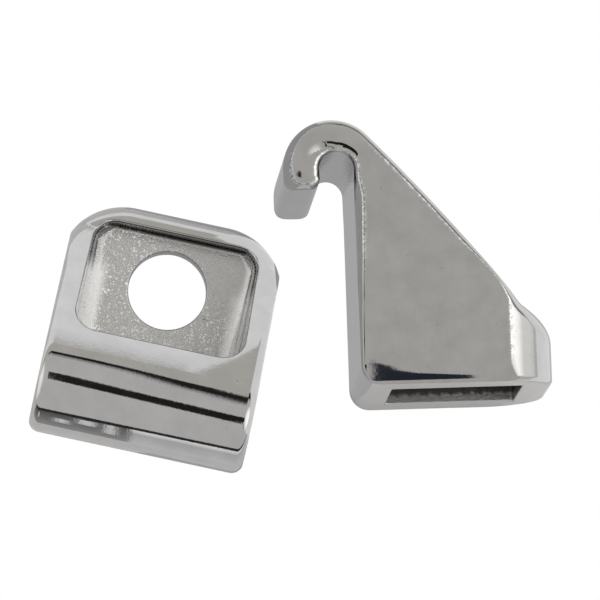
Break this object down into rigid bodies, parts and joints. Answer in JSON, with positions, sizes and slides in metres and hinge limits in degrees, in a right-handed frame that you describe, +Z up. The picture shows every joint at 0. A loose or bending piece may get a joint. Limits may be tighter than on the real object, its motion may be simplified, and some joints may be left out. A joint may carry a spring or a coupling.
{
  "type": "drum claw hook",
  "caption": "Chromed die-cast claw hooks: a curled lip over a hoop, a sloping back with a deep pocket, a rod hole in its floor and a low toe; one stands, one lies on its side.",
  "frame": {"origin": "centre of the pair's bounding box, on the surface that both claws rest on", "axes": "+Z up from the surface; +X from the standing claw towards the one on its side; +Y away from the viewer, roughly the way the standing claw's toe and the other claw's hook point"},
  "size_m": [0.0462, 0.0312, 0.0236],
  "materials": {
    "chrome_plate": "bright chrome plate over a zinc casting: mirror polished outside, hazy brushed flanks, grainy as-cast pocket and coring"
  },
  "bodies": {
    "standing_claw": {"claw_hook_standing": "chrome_plate"},
    "side_claw": {"claw_hook_on_side": "chrome_plate"}
  },
  "joints": [
    {"name": "side_claw_lift", "type": "slide", "parent": "standing_claw", "child": "side_claw", "axis": [0, 0, 1], "range_m": [0, 0.03]}
  ]
}
